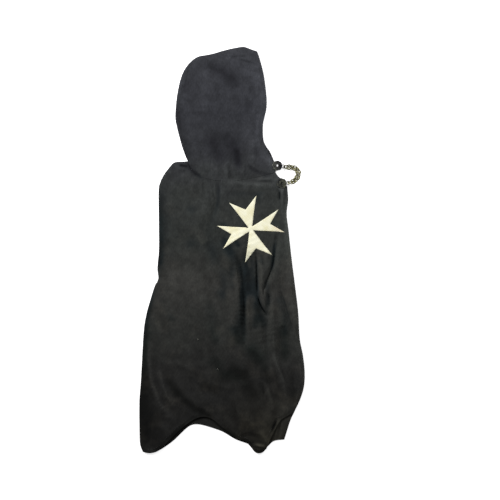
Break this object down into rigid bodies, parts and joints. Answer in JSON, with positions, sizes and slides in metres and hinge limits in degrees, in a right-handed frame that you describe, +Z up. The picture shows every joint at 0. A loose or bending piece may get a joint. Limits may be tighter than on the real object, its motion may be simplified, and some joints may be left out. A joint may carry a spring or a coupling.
{
  "type": "hooded cape laid flat and folded lengthwise",
  "caption": "Dark brushed cotton templar cape with hood, cream eight-pointed cross and brass neck chain, laid flat on its side and folded along the centre back",
  "frame": {"origin": "centre of the footprint, on the surface that the cape lies on", "axes": "+X from the back fold to the front edges, +Y from the hem to the hood, +Z up out of the surface"},
  "size_m": [0.5616, 1.3801, 0.022],
  "materials": {
    "body_cloth": "olive black brushed cotton twill",
    "hood_cloth": "blue black brushed cotton twill",
    "cross_cloth": "cream cotton twill applique",
    "dark_brass": "oxidised cast brass",
    "chain_brass": "antique brass wire"
  },
  "bodies": {
    "root": {"body_near": "body_cloth", "body_far": "body_cloth", "hood_near": "hood_cloth", "hood_far": "hood_cloth", "cross": "cross_cloth", "medallion_upper": "dark_brass", "medallion_lower": "dark_brass", "link_01": "chain_brass", "link_02": "chain_brass", "link_03": "chain_brass", "link_04": "chain_brass", "link_05": "chain_brass", "link_06": "chain_brass", "link_07": "chain_brass", "link_08": "chain_brass", "link_09": "chain_brass", "link_10": "chain_brass", "link_11": "chain_brass"}
  },
  "joints": []
}
